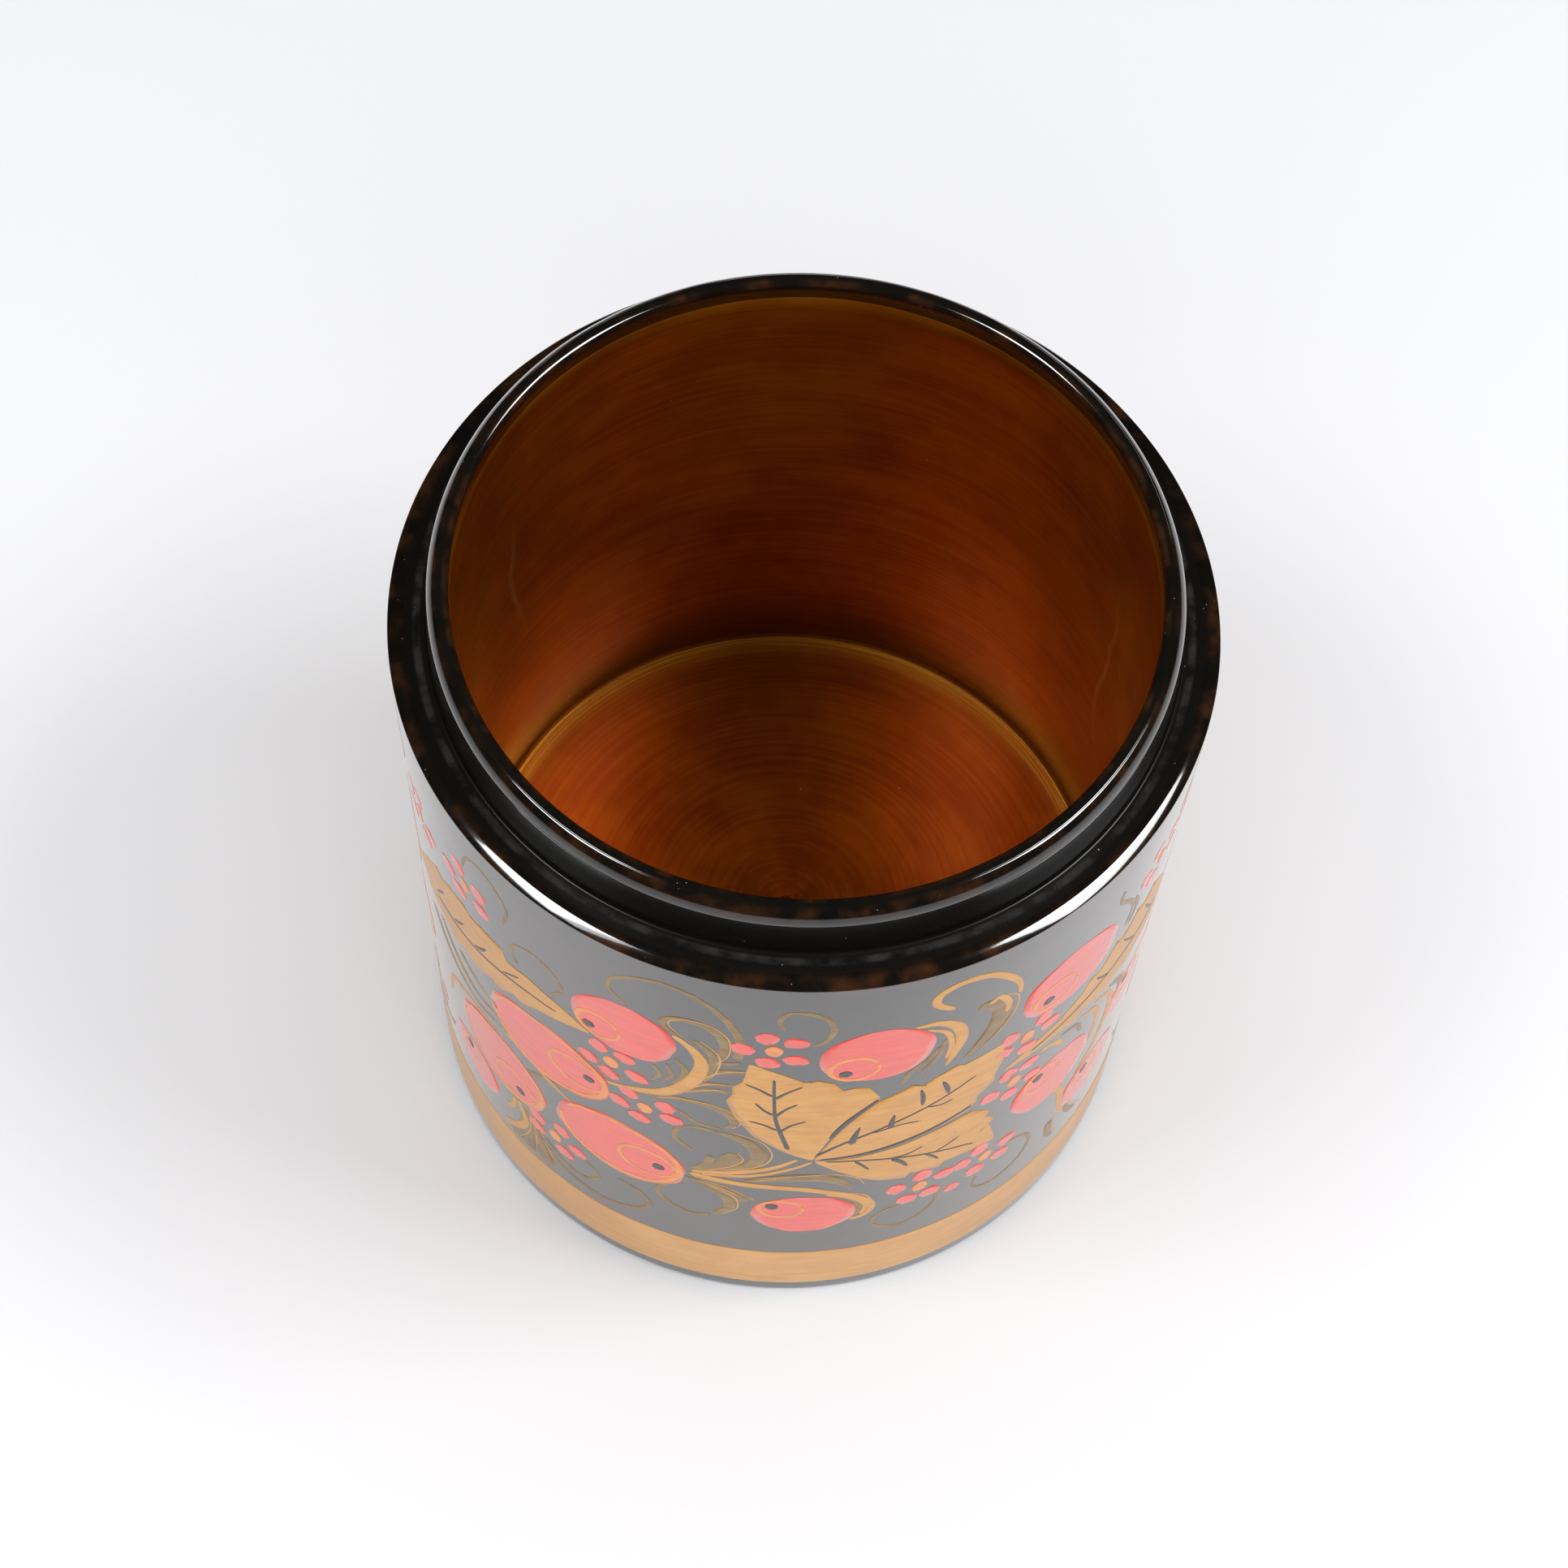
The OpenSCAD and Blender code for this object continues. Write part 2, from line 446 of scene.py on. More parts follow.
BLACK = black_lacquer("black_lacquer", 0.06, 0.14, 1.42, **VARNISH)
RUBBED_BLACK = black_lacquer("rubbed_black_lacquer", 0.22, 0.36, 1.20,
                             Coat_Weight=0.10, Coat_Roughness=0.10, Coat_IOR=1.40)
GOLD_LINING = gold_lacquer()
CORAL = paint("coral_paint", (0.97, 0.060, 0.022), (0.86, 0.038, 0.014), (0.45, 0.02, 0.01))
ORANGE = paint("orange_paint", (0.95, 0.32, 0.050), (0.84, 0.22, 0.030), (0.5, 0.1, 0.03),
               metallic=0.3, varnish=0.6)
OCHRE = paint("ochre_gold_paint", (0.78, 0.400, 0.100), (0.68, 0.320, 0.070),
              (0.26, 0.12, 0.03), metallic=0.7, varnish=0.3)
BAND_GOLD = paint("band_gold_paint", (0.82, 0.450, 0.165), (0.72, 0.370, 0.120),
                  (0.24, 0.12, 0.04), streak=6.0, metallic=0.7, varnish=0.3)
OLIVE = paint("olive_gold_paint", (0.34, 0.210, 0.060), (0.22, 0.125, 0.035),
              (0.05, 0.035, 0.015), metallic=0.5, varnish=0.4)
INK = paint("black_line_paint", (0.030, 0.020, 0.014), (0.012, 0.010, 0.009),
            (0.10, 0.05, 0.02), varnish=0.4)
WOOD = limewood("limewood")

# ------ lathe-turned coats
COAT_SEGMENTS = 480
BAND_SEGMENTS = 720
SAG_BROAD = 0.022 * MM
SAG_FINE = 0.008 * MM
SAG_FROM = BODY_H - 3 * MM
SAG_GROWS_OVER = 2 * MM


def uneven(angle, r, z):
    """The coat's hand-laid unevenness, always inwards so that it keeps inside the CAD part."""
    broad = ring_noise(angle, z, 2.2, 40.0)
    fine = ring_noise(angle, z, 9.0, 260.0)
    sink = SAG_BROAD * (1 + broad) + SAG_FINE * (1 + fine)
    sink *= min(1.0, max(0.0, (z - SAG_FROM) / SAG_GROWS_OVER))
    inside = r < (BORE_R + NECK_R) / 2
    return (r + sink if inside else r - sink, z - sink)


# The shoulder's edge is a narrow facet, crowned between two slopes given in degrees. GUARD is
# the distance of the extra points that keep its corners crisp.
FACET_LOW = 58
FACET_HIGH = 68
FACET_R = 6.2 * MM
FACET_DROP = 0.5 * MM
CORNER_ROUND = 0.16 * MM
GUARD = 0.12 * MM
NECK_DRAFT = 0.2 * MM
# The lip has a tight ridge on top, that far outside the bore, and a fuller outer side.
RIDGE_IN = 1.05 * MM
RIDGE_R = 0.9 * MM
RIDGE_LOW = 50


def outer_section():
    """Closed section of the black coat, from the foot up, over the lip and back in the wood.

    Also gives the range of its edges that make the flat of the shoulder and the neck.
    """
    lean = math.degrees(LEAN)
    foot_z = FOOT_ROUND
    foot = (side_r(foot_z) - FOOT_ROUND / math.cos(LEAN), foot_z)
    turn_z = BODY_H - SHOULDER_ROUND
    shoulder = (side_r(turn_z) - SHOULDER_ROUND / math.cos(LEAN), turn_z)
    corner_z = BODY_H - FACET_DROP - CORNER_ROUND
    corner = (side_r(corner_z) - CORNER_ROUND / math.cos(LEAN), corner_z)
    turn = math.radians(FACET_LOW)
    facet = (corner[0] - (FACET_R - CORNER_ROUND) * math.cos(turn),
             corner[1] - (FACET_R - CORNER_ROUND) * math.sin(turn))
    root = (NECK_R + NECK_FILLET, BODY_H + NECK_FILLET)
    lip_wood = (NECK_R - LIP_OUTER_ROUND, CUP_H - LIP_OUTER_ROUND)
    ridge = (BORE_R + RIDGE_IN, CUP_H - RIDGE_R)
    turn = math.radians(RIDGE_LOW)
    run = NECK_R - NECK_DRAFT - ridge[0] - RIDGE_R * math.cos(turn)
    full_r = run / (1 - math.cos(turn))
    full = (ridge[0] + (RIDGE_R - full_r) * math.cos(turn),
            ridge[1] + (RIDGE_R - full_r) * math.sin(turn))
    lip_in = (BORE_R + LIP_INNER_ROUND, CUP_H - LIP_INNER_ROUND)
    outside = arc(foot, FOOT_ROUND, -62, -lean, 8)
    side_top = arc(corner, CORNER_ROUND, -lean, FACET_LOW, 8)
    side_top += arc(facet, FACET_R, FACET_LOW, FACET_HIGH, 8)[1:]
    outside += line(outside[-1], side_top[0], 30)
    outside += [(side_r(side_top[0][1] - GUARD), side_top[0][1] - GUARD)] + side_top
    outside += [(side_top[-1][0] - GUARD, BODY_H), (side_top[-1][0] - 2 * GUARD, BODY_H)]
    fillet = arc(root, NECK_FILLET, 270, 180, 5)
    rubbed_from = len(outside)
    outside += line(outside[-1], fillet[0], 5) + fillet
    outer_lip = arc(full, full_r, 0, RIDGE_LOW, 8) + arc(ridge, RIDGE_R, RIDGE_LOW, 90, 8)[1:]
    outside += line(outside[-1], outer_lip[0], 5)
    rubbed = range(rubbed_from, len(outside))
    outside += outer_lip
    outside += arc(lip_in, LIP_INNER_ROUND, 90, 180, 8)
    outside += [(BORE_R, GOLD_Z)]
    inside = [(BORE_R + COAT_T, GOLD_Z)]
    inside += arc(lip_in, LIP_INNER_ROUND - COAT_T, 180, 90, 4)
    inside += arc(lip_wood, LIP_OUTER_ROUND - COAT_T, 90, 0, 4)
    inside += arc(root, NECK_FILLET + COAT_T, 180, 270, 4)
    inside += arc(shoulder, SHOULDER_ROUND - COAT_T, 90, -lean, 5)
    return outside + inside, rubbed


def inner_section():
    """Closed section of the gold coat, from the middle of the floor out and up, and back."""
    hub = 0.3 * MM
    pool = arc((BORE_R - POOL_R, FLOOR_Z + POOL_R), POOL_R, -90, 0, 8)
    top = [(hub, FLOOR_Z)] + line((hub, FLOOR_Z), pool[0], 46) + pool
    wall_top = (BORE_R, GOLD_Z)
    top += line(pool[-1], wall_top, 30) + [wall_top]
    behind = [(BORE_R + COAT_T, GOLD_Z), (BORE_R + COAT_T, FLOOR_Z - COAT_T)]
    return top + behind + [(hub, FLOOR_Z - COAT_T)]


DISH_W = 4.5 * MM
DISH_RISE = 0.4 * MM
TOOL_PITCH = 1.9 * MM
FINE_PITCH = 0.83 * MM
TOOL_DEPTH = 0.012 * MM
SWELL = 0.03 * MM


def lining(angle, r, z):
    """Turning rings on the floor, which rises to its edge, and a soft swell on the wall."""
    on_floor = abs(z - FLOOR_Z) < 0.1 * MM
    on_wall = abs(r - BORE_R) < 0.05 * MM
    if on_floor:
        ring = math.sin(r / TOOL_PITCH) + 0.6 * math.sin(r / FINE_PITCH + 1.0)
        brushed = TOOL_DEPTH * ring + SWELL * ring_noise(angle, z, 1.5, 10.0)
        dished = max(0.0, (r - BORE_R) / DISH_W + 1.0) ** 2
        return r, z + brushed + DISH_RISE * dished
    if on_wall:
        return r + SWELL * ring_noise(angle, z, 5.0, 90.0), z
    return r, z


def close_hub(piece, count):
    """Fills the small hole that the lathe leaves round the axis, above and below."""
    mesh = piece.data
    segments = len(mesh.vertices) // count
    points = [tuple(v.co) for v in mesh.vertices]
    faces = [tuple(p.vertices) for p in mesh.polygons]
    low_edge = count - 1
    faces = [f for f in faces if not {i % count for i in f} == {0, low_edge}]
    top = len(points)
    points += [(0, 0, points[0][2]), (0, 0, points[low_edge][2])]
    for s in range(segments):
        here = s * count
        there = ((s + 1) % segments) * count
        faces.append((top, here, there))
        faces.append((top + 1, there + low_edge, here + low_edge))
    mesh.clear_geometry()
    mesh.from_pydata(points, [], faces)
    mesh.polygons.foreach_set("use_smooth", [True] * len(mesh.polygons))
    mesh.update()


coat_section, rubbed_edges = outer_section()
outer = lathe("black_lacquer_coat", coat_section, COAT_SEGMENTS, uneven)
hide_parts("outer_lacquer")
paint_on(outer, BLACK)
outer.data.materials.append(RUBBED_BLACK)
for face in outer.data.polygons:
    if face.index % len(coat_section) in rubbed_edges:
        face.material_index = 1

lining_section = inner_section()
inner = lathe("gold_lining_coat", lining_section, COAT_SEGMENTS, lining)
close_hub(inner, len(lining_section))
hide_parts("inner_lacquer")
paint_on(inner, GOLD_LINING)

BAND_LOW = band_low.z
BAND_HIGH = band_high.z
BAND_LIFT = 0.05 * MM
BAND_SINK = 0.06 * MM
BAND_EDGE = 0.3 * MM


def band_section():
    """Section of the painted band, with soft edges."""
    low = (side_r(BAND_LOW + BAND_EDGE) + BAND_LIFT, BAND_LOW + BAND_EDGE)
    high = (side_r(BAND_HIGH - BAND_EDGE) + BAND_LIFT, BAND_HIGH - BAND_EDGE)
    outside = [(side_r(BAND_LOW), BAND_LOW), low] + line(low, high, 8)
    outside += [high, (side_r(BAND_HIGH), BAND_HIGH)]
    inside = [(side_r(z) - BAND_SINK, z) for z in (BAND_HIGH, BAND_LOW)]
    return outside + inside


def hand_drawn(angle, r, z):
    """Lets the band's two edges wander as a brush does, by tenths of a millimetre."""
    share = (z - BAND_LOW) / (BAND_HIGH - BAND_LOW)
    low_edge = 0.12 * ring_noise(angle, 0.0, 4.0, 1.0) + 0.05 * ring_noise(angle, 2.0, 30.0, 1.0)
    high_edge = 0.16 * ring_noise(angle, 5.0, 3.0, 1.0) + 0.06 * ring_noise(angle, 7.0, 26.0, 1.0)
    return r, z + MM * (low_edge * (1 - share) + high_edge * share)


band = lathe("foot_band_paint", band_section(), BAND_SEGMENTS, hand_drawn)
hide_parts("foot_band")
paint_on(band, BAND_GOLD)

for node_name in ("side_wall", "base_block"):
    paint_on(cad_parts[node_name], WOOD)
paint_on(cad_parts["underside_lacquer"], BLACK)

# ------ painted ornament
DEG_TO_MM = math.radians(1) * MID_R / MM
# A stroke's point spacing and its tips' width are in mm, as its widths are.
STROKE_STEP = 0.45
TIP_WIDTH = 0.03
RING_TAPER = (0.7, 1.3, 0.5)
SINK = 0.06 * MM
EDGE_SHARE = 0.8
# The front panel is repeated behind.
PANELS = (0, 180)


class Paint:
    """Flakes of one paint on the side of the cup, joined into one piece."""

    def __init__(self, name, slot, material, lift):
        self.name = name
        self.slot = slot
        self.material = material
        self.lift = lift * MM
        self.points = []
        self.faces = []
        self.flat = []

    def flake(self, left, right, across):
        """Closed flake between two edges with equally many (mm across, mm up) points."""
        rows = len(left)
        cols = across + 1
        for turn in PANELS:
            start = len(self.points)
            for top in (True, False):
                for i in range(rows):
                    for j in range(cols):
                        t = j / across
                        s = left[i][0] + (right[i][0] - left[i][0]) * t
                        z = left[i][1] + (right[i][1] - left[i][1]) * t
                        edge = i in (0, rows - 1) or j in (0, across)
                        height = (EDGE_SHARE if edge else 1.0) * self.lift if top else -SINK
                        self.points.append(on_side(s / DEG_TO_MM + turn, z, height))
            self.close(start, rows, cols)

    def close(self, start, rows, cols):
        """Faces of the flake whose top grid starts there and whose bottom grid follows."""
        under = rows * cols
        for i in range(rows - 1):
            for j in range(cols - 1):
                a = start + i * cols + j
                quad = (a, a + 1, a + cols + 1, a + cols)
                self.faces += [quad, tuple(k + under for k in reversed(quad))]
                self.flat += [False, True]
        rim = [start + j for j in range(cols)]
        rim += [start + i * cols + cols - 1 for i in range(1, rows)]
        rim += [start + (rows - 1) * cols + j for j in range(cols - 2, -1, -1)]
        rim += [start + i * cols for i in range(rows - 2, 0, -1)]
        for k, a in enumerate(rim):
            b = rim[(k + 1) % len(rim)]
            self.faces.append((b, a, a + under, b + under))
            self.flat.append(True)

    def stroke(self, widths, route, fuller=1.0):
        """Brush stroke along (degree, mm) points; widths are at its start, middle and end."""
        path = smooth(route)
        lengths = run_lengths(path)
        left = []
        right = []
        for k, (s, z) in enumerate(path):
            t = lengths[k] / lengths[-1]
            start, middle, end = widths
            width = fuller * (start * (1 - t) ** 2 + 2 * middle * t * (1 - t) + end * t * t)
            to_end = min(lengths[k], lengths[-1] - lengths[k])
            cap = min(1.0, to_end / (width / 2))
            half = max(TIP_WIDTH / 2, width / 2 * math.sqrt(1 - (1 - cap) ** 2))
            ahead = path[min(k + 1, len(path) - 1)]
            behind = path[max(k - 1, 0)]
            ds, dz = ahead[0] - behind[0], ahead[1] - behind[1]
            size = math.hypot(ds, dz)
            left.append((s - half * dz / size, z + half * ds / size))
            right.append((s + half * dz / size, z - half * ds / size))
        self.flake(right, left, 4)

    def oval(self, centre, half_wide, half_high, tilt=0, across=12, steps=36, rough=0.0):
        """Filled oval at a (degree, mm) place, with half sizes in mm."""
        left = []
        right = []
        for i in range(steps + 1):
            a = math.radians(-88 + 176 * i / steps)
            for side, edge in ((-1, left), (1, right)):
                swell = 1 + rough * noise.noise(Vector((centre[0], side * math.cos(a) * 2,
                                                        centre[1] + math.sin(a) * 2)))
                x = side * half_wide * math.cos(a) * swell
                y = half_high * math.sin(a) * swell
                edge.append(turned((x, y), tilt, centre))
        self.flake(left, right, across)

    def ring(self, centre, half_wide, half_high, width, tilt=0, start=0, end=360):
        """Oval outline, drawn as one stroke from one angle to another."""
        route = []
        for i in range(17):
            a = math.radians(start + (end - start) * i / 16)
            s, z = turned((half_wide * math.cos(a), half_high * math.sin(a)), tilt, centre)
            route.append((s / DEG_TO_MM, z))
        self.stroke([share * width for share in RING_TAPER], route)

    def done(self):
        piece = new_piece(self.name, self.points, self.faces)
        piece.data.polygons.foreach_set("use_smooth", [not flat for flat in self.flat])
        paint_on(piece, self.material)


def on_side(degree, height_mm, lift):
    """The point on the finished side at an angle and a height, lifted off the surface."""
    z = height_mm * MM
    r = side_r(z) + lift
    a = math.radians(degree)
    return (r * math.cos(a), r * math.sin(a), z)


def turned(offset, tilt, centre):
    """An offset in mm, turned by tilt degrees about a (degree, mm) place."""
    a = math.radians(tilt)
    x = offset[0] * math.cos(a) - offset[1] * math.sin(a)
    y = offset[0] * math.sin(a) + offset[1] * math.cos(a)
    return (centre[0] * DEG_TO_MM + x, centre[1] + y)


def run_lengths(path):
    """Distance from the path's start to each of its points."""
    lengths = [0.0]
    for a, b in zip(path, path[1:]):
        lengths.append(lengths[-1] + math.dist(a, b))
    return lengths


def smooth(route):
    """Evenly spaced points, in mm, of the smooth curve through (degree, mm) points."""
    knots = [(s * DEG_TO_MM, z) for s, z in route]
    knots = [mirrored(knots[0], knots[1])] + knots + [mirrored(knots[-1], knots[-2])]
    dense = []
    for p0, p1, p2, p3 in zip(knots, knots[1:], knots[2:], knots[3:]):
        for i in range(12):
            t = i / 12
            dense.append(tuple(
                0.5 * (2 * b + (c - a) * t + (2 * a - 5 * b + 4 * c - d) * t * t
                       + (3 * b - a - 3 * c + d) * t ** 3)
                for a, b, c, d in zip(p0, p1, p2, p3)))
    dense.append(knots[-2])
    return resampled(dense, STROKE_STEP)


def mirrored(a, b):
    return (2 * a[0] - b[0], 2 * a[1] - b[1])


def resampled(path, step, count=None):
    """The path with evenly spaced points, step apart or as many as count."""
    lengths = run_lengths(path)
    count = count or max(6, round(lengths[-1] / step))
    points = []
    k = 0
    for i in range(count + 1):
        want = lengths[-1] * i / count
        while k < len(path) - 2 and lengths[k + 1] < want:
            k += 1
        t = (want - lengths[k]) / max(lengths[k + 1] - lengths[k], 1e-9)
        points.append(tuple(a + (b - a) * t for a, b in zip(path[k], path[k + 1])))
    return points


def leaf(left, right, steps=90):
    """One lobe of a leaf between its two toothed edges, each from the base to the tip."""
    edges = []
    for edge in (left, right):
        edges.append(resampled([(s * DEG_TO_MM, z) for s, z in edge], None, steps))
    ochre.flake(*edges, 14)


coral = Paint("berry_paint", "red_paint", CORAL, 0.018)
orange = Paint("orange_line_paint", "gold_paint", ORANGE, 0.028)
ochre = Paint("leaf_paint", "gold_paint", OCHRE, 0.018)
olive = Paint("curl_paint", "olive_paint", OLIVE, 0.012)
ink = Paint("dark_line_paint", "black_lacquer", INK, 0.034)

# Berries: place, half width, half height, tilt, place of the dot, whether it has an outline
BERRIES = [
    ((-112, 67), 6.1, 6.2, 0, (-117.4, 64.3), False),
    ((-75.6, 68.7), 6.2, 6.3, 0, (-80, 64.9), False),
    ((-44.4, 67.6), 6.9, 6.4, 0, (-48.6, 65), False),
    ((-84, 24.6), 6.1, 5.3, 0, (-89, 26.9), False),
    ((-126, 48.4), 8.7, 7.2, -4, (-118, 48.7), True),
    ((-113.6, 33.4), 8.3, 7.4, -18, (-106.8, 32.3), True),
    ((-137.3, 32.8), 7.8, 7.2, -22, (-132.7, 29.2), True),
    ((-145.8, 21.7), 5.2, 4.8, 0, (-147, 24), False),
    ((-43, 38.6), 6.2, 6.3, 0, (-46.6, 42), False),
    ((-31, 26), 5.6, 5.4, 0, (-33, 28.5), False),
    ((-22, 40), 6.0, 5.6, 10, (-25, 42.5), False),
    ((-168, 36), 6.4, 6.0, 0, (-171, 38.5), True),
    ((-3, 62), 6.2, 6.2, 0, (-6, 59.5), False),
    ((-8, 27), 6.6, 5.8, -10, (-4, 25.5), True),
]
DOT_SIZE = (0.75, 0.8)
EYE_TO_DOT = 0.72
EYE_WIDTH = 0.72
OUTLINE_IN = 0.6
OUTLINE_WIDTH = 0.95
for place, wide, high, tilt, dot, outlined in BERRIES:
    coral.oval(place, wide, high, tilt, rough=0.05)
    ink.oval(dot, *DOT_SIZE, across=4, steps=12, rough=0.2)
    eye = [a + (b - a) * EYE_TO_DOT for a, b in zip(place, dot)]
    orange.ring(eye, 0.42 * wide, 0.44 * high, EYE_WIDTH, tilt, 20, 375)
    if outlined:
        orange.ring(place, wide - OUTLINE_IN, high - OUTLINE_IN, OUTLINE_WIDTH, tilt, -170, 170)

# Blossoms: place of the centre and turn of the first petal
BLOSSOMS = [
    ((-90.2, 71.1), 110), ((-114, 56.8), 125), ((-108.8, 48.1), 50), ((-125.6, 24.6), 70),
    ((-65.7, 27), 90), ((-54.4, 27.4), 100), ((-52, 46.7), 120), ((-51.4, 58.3), 60),
    ((-155.5, 70.6), 80), ((-141, 72.6), 40), ((-12, 44), 90), ((-172, 55), 70),
    ((-176, 22), 30), ((-25, 73), 110), ((-13, 74), 60), ((-163, 21), 90),
]
PETAL_RING = 3.2
PETAL_SIZE = (1.25, 1.4)
HEART_SIZE = (0.95, 1.25)
PETALS = 5
for place, first in BLOSSOMS:
    orange.oval(place, *HEART_SIZE, across=4, steps=14, rough=0.15)
    for k in range(PETALS):
        a = math.radians(first + 360 / PETALS * k + 9 * math.sin(place[0] + 2.4 * k))
        petal = (place[0] + PETAL_RING * math.cos(a) / DEG_TO_MM,
                 place[1] + PETAL_RING * math.sin(a))
        coral.oval(petal, *PETAL_SIZE, tilt=20 * k, across=5, steps=14, rough=0.2)
# One small round bud below the blossoms
coral.oval((-59.8, 22.5), 1.05, 1.05, across=5, steps=14, rough=0.1)

# The main leaf: three toothed lobes from one base
leaf([(-83.8, 41.2), (-87.5, 43.3), (-92.5, 47.6), (-95.2, 52.2), (-96.6, 56.5), (-95.7, 58.3),
      (-95.8, 60.3), (-94.3, 62.2), (-93.5, 67.2)],
     [(-83.4, 41.2), (-81.4, 46.5), (-78.9, 51.6), (-74.7, 56.1), (-74.5, 57.2), (-76.3, 60.4),
      (-78.4, 60.9), (-79.8, 60.1), (-81.5, 62.6), (-83.8, 63.6), (-85.2, 62.9), (-88.6, 65),
      (-93.2, 67.2)])
leaf([(-83.2, 41.2), (-81, 46.5), (-78.5, 51.6), (-74.4, 56.2), (-71.5, 57.6), (-69.6, 58.7),
      (-68.4, 57.5), (-65.8, 59.2), (-63, 60.3), (-62.5, 59.6), (-59.6, 60), (-56, 60.6)],
     [(-83, 41), (-78, 40.8), (-72, 42.2), (-65, 43.8), (-60, 45.4), (-58.6, 46.8),
      (-58.5, 48.4), (-55.9, 50.8), (-56.2, 52.2), (-55.1, 56), (-55.7, 60.4)])
leaf([(-83, 40.8), (-77, 40.8), (-70, 41.8), (-63, 43.7), (-59.4, 44.6), (-56.2, 42.6),
      (-55.5, 41.4), (-56.4, 41), (-54.2, 38.6), (-55.2, 38), (-54, 34.5), (-53.3, 31.8)],
     [(-83, 40.4), (-80.5, 38), (-76, 34.4), (-73, 32.6), (-68.6, 31.3), (-68.2, 32.3),
      (-65.8, 31.9), (-63, 31.1), (-62.7, 32.3), (-58, 32), (-53.5, 31.6)])
# The two side leaves, of which the photograph shows the tips
leaf([(-117.4, 61.9), (-122, 64), (-128, 65.3), (-132.4, 64.6), (-133, 66.6), (-138, 66.4),
      (-141, 65.6), (-142, 66.6), (-147, 65.4), (-149, 64), (-150.5, 64.6), (-155, 61),
      (-160, 56)],
     [(-117.4, 61.6), (-121, 60.4), (-127, 58.4), (-130, 56.6), (-131.5, 57.2), (-134.5, 54.8),
      (-137, 55), (-140, 53.2), (-143, 53.6), (-147, 52), (-150, 52.8), (-155, 52.6),
      (-160, 55)])
leaf([(-54.6, 52.2), (-50, 54.6), (-45, 56.2), (-40.5, 58.6), (-39.5, 60.4), (-37, 60.2),
      (-34, 63.6), (-32.5, 62.6), (-29, 65.4), (-27, 64.4), (-24, 65.6), (-20, 62), (-15, 56)],
     [(-54.6, 51.9), (-50, 51.9), (-45, 52.2), (-41, 51.4), (-39.5, 52.6), (-36, 51.8),
      (-33, 50.8), (-31.6, 52), (-28, 50.6), (-25, 51.4), (-22, 51), (-18, 52.4), (-15, 55)])

# Dark veins: widths and route
VEINS = [
    ((0.35, 0.4, 0.6), [(-89.9, 63.6), (-89.7, 58), (-89.2, 52), (-87.2, 44.2)]),
    ((0.3, 0.35, 0.5), [(-85.8, 62), (-88, 60.2), (-89.8, 58.2)]),
    ((0.3, 0.35, 0.45), [(-86.3, 57.2), (-88, 55.6), (-89.5, 53.4)]),
    ((0.3, 0.35, 0.45), [(-84.9, 52.4), (-87, 51.2), (-88.7, 49.2)]),
    ((0.3, 0.35, 0.5), [(-94, 61.8), (-92, 60.7), (-89.9, 59)]),
    ((0.3, 0.35, 0.45), [(-92.4, 56.9), (-91, 55), (-89.6, 53.8)]),
    ((0.3, 0.35, 0.45), [(-93.2, 51.8), (-91, 51), (-88.9, 49.6)]),
    ((0.35, 1.2, 0.5), [(-74.7, 56.6), (-77.6, 53.2), (-80, 49.6), (-81.2, 47)]),
    ((0.5, 0.45, 0.3), [(-83.2, 42.2), (-79, 45.4), (-73, 48.4), (-65, 52), (-59.6, 55)]),
    ((0.9, 0.9, 0.2), [(-77.9, 44.8), (-77.6, 46.8), (-76.9, 49.6)]),
    ((0.7, 0.8, 0.2), [(-72.2, 47.6), (-72.2, 49.2), (-71.9, 51.4)]),
    ((0.25, 0.9, 0.3), [(-68.4, 56.6), (-67.9, 54.4), (-67.8, 52)]),
    ((0.25, 1.0, 0.3), [(-65.1, 57), (-64.3, 55), (-63.8, 53)]),
    ((0.3, 0.35, 0.3), [(-75, 47.2), (-71, 48), (-67.6, 47.6)]),
    ((0.3, 0.35, 0.3), [(-67, 51), (-64.6, 50.4), (-62.8, 50.8)]),
    ((0.5, 0.7, 0.35), [(-82.6, 41), (-75, 41.7), (-67, 43.5), (-59.3, 46.3)]),
    ((0.35, 0.4, 0.3), [(-81.6, 40.5), (-75, 39.4), (-67, 37.2), (-60, 35), (-57.2, 33.8)]),
    ((0.7, 0.8, 0.25), [(-71.3, 38.3), (-69.6, 36.6), (-68.5, 34.8)]),
    ((0.4, 0.45, 0.25), [(-77, 39.6), (-75.7, 38), (-74.6, 36.4)]),
    ((0.4, 0.5, 0.25), [(-65.9, 36.9), (-64.4, 35.3), (-63.3, 33.8)]),
    ((0.3, 0.4, 0.25), [(-71.6, 38.6), (-69, 38.5), (-66.4, 39.6)]),
    ((0.3, 0.4, 0.25), [(-64.2, 36.5), (-62.4, 37.2), (-60.4, 38.4)]),
    ((0.3, 0.5, 0.4), [(-123, 61.8), (-130, 61), (-140, 58.4), (-152, 56)]),
    ((0.25, 0.8, 0.3), [(-137.2, 61.6), (-138.6, 60), (-140.4, 58.8)]),
    ((0.25, 0.6, 0.3), [(-143, 60.6), (-144.6, 59), (-146.2, 57.8)]),
    ((0.25, 0.6, 0.3), [(-149, 60.4), (-150.5, 58.6), (-152, 57)]),
    ((0.25, 0.4, 0.3), [(-130, 63), (-131.5, 62), (-133.6, 60.6)]),
    ((0.3, 0.5, 0.4), [(-50, 52.9), (-42, 54.6), (-32, 56), (-20, 56.4)]),
    ((0.25, 0.6, 0.3), [(-37.6, 58.6), (-36, 57), (-34, 55.8)]),
    ((0.25, 0.6, 0.3), [(-31.6, 61), (-29.8, 58.8), (-27.6, 56.8)]),
    ((0.25, 0.6, 0.3), [(-25.6, 62), (-24, 59.4), (-22, 57.2)]),
]
